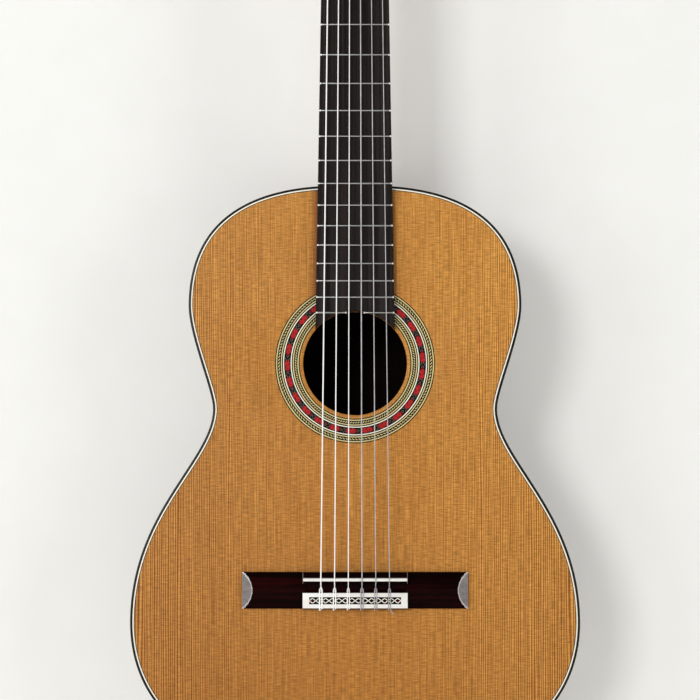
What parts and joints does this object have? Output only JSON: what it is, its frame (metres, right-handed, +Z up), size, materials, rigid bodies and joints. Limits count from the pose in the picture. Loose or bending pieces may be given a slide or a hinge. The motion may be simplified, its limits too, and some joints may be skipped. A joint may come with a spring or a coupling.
{
  "type": "classical guitar",
  "caption": "Hollow wooden guitar with an hourglass body, fretted neck, slotted headstock and worm-geared tuning keys that wind nylon strings.",
  "frame": {"origin": "middle of the flat foot of the end graft, at the tail of the body", "axes": "+Z up along the neck, the soundboard faces -Y, +X is the treble side"},
  "size_m": [0.37, 0.1141, 1.0022],
  "materials": {
    "cedar": "satin varnish over straight-grained cedar",
    "spruce": "bare planed spruce",
    "rosewood": "polished dark rosewood",
    "ebony": "oiled near-black ebony with silver frets",
    "mahogany": "satin varnished reddish-brown neck wood",
    "bone": "polished bone",
    "mosaic": "inlaid rings of dyed wood",
    "brass": "polished brass",
    "steel": "turned steel",
    "pearl": "pearl-like plastic",
    "roller_white": "white plastic barrels on steel shafts",
    "wound_string": "silver-plated wire winding",
    "nylon": "clear nylon"
  },
  "bodies": {
    "body": {"soundboard": "cedar", "rosette": "mosaic", "back": "rosewood", "side_bass": "rosewood", "side_treble": "rosewood", "top_binding": "rosewood", "back_binding": "rosewood", "end_graft": "rosewood", "tail_block": "mahogany", "top_lining_bass": "mahogany", "top_lining_treble": "mahogany", "back_lining_bass": "mahogany", "back_lining_treble": "mahogany", "upper_harmonic_bar": "spruce", "lower_harmonic_bar": "spruce", "fan_bracing": "spruce", "back_brace_upper": "spruce", "back_brace_middle": "spruce", "back_brace_lower": "spruce", "neck": "mahogany", "headstock": "mahogany", "head_veneer": "rosewood", "heel_cap": "rosewood", "fingerboard": "ebony", "nut": "bone", "bridge": "rosewood", "saddle": "bone", "tie_block_cap": "bone", "machine_plate_bass": "brass", "machine_plate_treble": "brass", "string_1": "nylon", "string_2": "nylon", "string_3": "nylon", "string_4": "wound_string", "string_5": "wound_string", "string_6": "wound_string"},
    "key_1": {"worm_1": "steel", "button_1": "pearl"},
    "barrel_1": {"roller_1": "roller_white", "gear_1": "brass"},
    "key_2": {"worm_2": "steel", "button_2": "pearl"},
    "barrel_2": {"roller_2": "roller_white", "gear_2": "brass"},
    "key_3": {"worm_3": "steel", "button_3": "pearl"},
    "barrel_3": {"roller_3": "roller_white", "gear_3": "brass"},
    "key_4": {"worm_4": "steel", "button_4": "pearl"},
    "barrel_4": {"roller_4": "roller_white", "gear_4": "brass"},
    "key_5": {"worm_5": "steel", "button_5": "pearl"},
    "barrel_5": {"roller_5": "roller_white", "gear_5": "brass"},
    "key_6": {"worm_6": "steel", "button_6": "pearl"},
    "barrel_6": {"roller_6": "roller_white", "gear_6": "brass"}
  },
  "joints": [
    {"name": "key_1_turn", "type": "hinge", "parent": "body", "child": "key_1", "pos_m": [0.04015, -0.02756, 0.86596], "axis": [0, 0.9659, -0.2588], "continuous": true},
    {"name": "barrel_1_turn", "type": "hinge", "parent": "body", "child": "barrel_1", "pos_m": [0.04015, -0.02526, 0.87456], "axis": [1, 0, 0], "continuous": true},
    {"name": "key_2_turn", "type": "hinge", "parent": "body", "child": "key_2", "pos_m": [0.04015, -0.01851, 0.89977], "axis": [0, 0.9659, -0.2588], "continuous": true},
    {"name": "barrel_2_turn", "type": "hinge", "parent": "body", "child": "barrel_2", "pos_m": [0.04015, -0.0162, 0.90836], "axis": [1, 0, 0], "continuous": true},
    {"name": "key_3_turn", "type": "hinge", "parent": "body", "child": "key_3", "pos_m": [0.04015, -0.00945, 0.93358], "axis": [0, 0.9659, -0.2588], "continuous": true},
    {"name": "barrel_3_turn", "type": "hinge", "parent": "body", "child": "barrel_3", "pos_m": [0.04015, -0.00714, 0.94217], "axis": [1, 0, 0], "continuous": true},
    {"name": "key_4_turn", "type": "hinge", "parent": "body", "child": "key_4", "pos_m": [-0.04015, -0.00945, 0.93358], "axis": [0, 0.9659, -0.2588], "continuous": true},
    {"name": "barrel_4_turn", "type": "hinge", "parent": "body", "child": "barrel_4", "pos_m": [-0.04015, -0.00714, 0.94217], "axis": [1, 0, 0], "continuous": true},
    {"name": "key_5_turn", "type": "hinge", "parent": "body", "child": "key_5", "pos_m": [-0.04015, -0.01851, 0.89977], "axis": [0, 0.9659, -0.2588], "continuous": true},
    {"name": "barrel_5_turn", "type": "hinge", "parent": "body", "child": "barrel_5", "pos_m": [-0.04015, -0.0162, 0.90836], "axis": [1, 0, 0], "continuous": true},
    {"name": "key_6_turn", "type": "hinge", "parent": "body", "child": "key_6", "pos_m": [-0.04015, -0.02756, 0.86596], "axis": [0, 0.9659, -0.2588], "continuous": true},
    {"name": "barrel_6_turn", "type": "hinge", "parent": "body", "child": "barrel_6", "pos_m": [-0.04015, -0.02526, 0.87456], "axis": [1, 0, 0], "continuous": true}
  ],
  "couplings": [
    {"joint": "barrel_1_turn", "follows": "key_1_turn", "ratio": -0.066667},
    {"joint": "barrel_2_turn", "follows": "key_2_turn", "ratio": -0.066667},
    {"joint": "barrel_3_turn", "follows": "key_3_turn", "ratio": -0.066667},
    {"joint": "barrel_4_turn", "follows": "key_4_turn", "ratio": -0.066667},
    {"joint": "barrel_5_turn", "follows": "key_5_turn", "ratio": -0.066667},
    {"joint": "barrel_6_turn", "follows": "key_6_turn", "ratio": -0.066667}
  ]
}
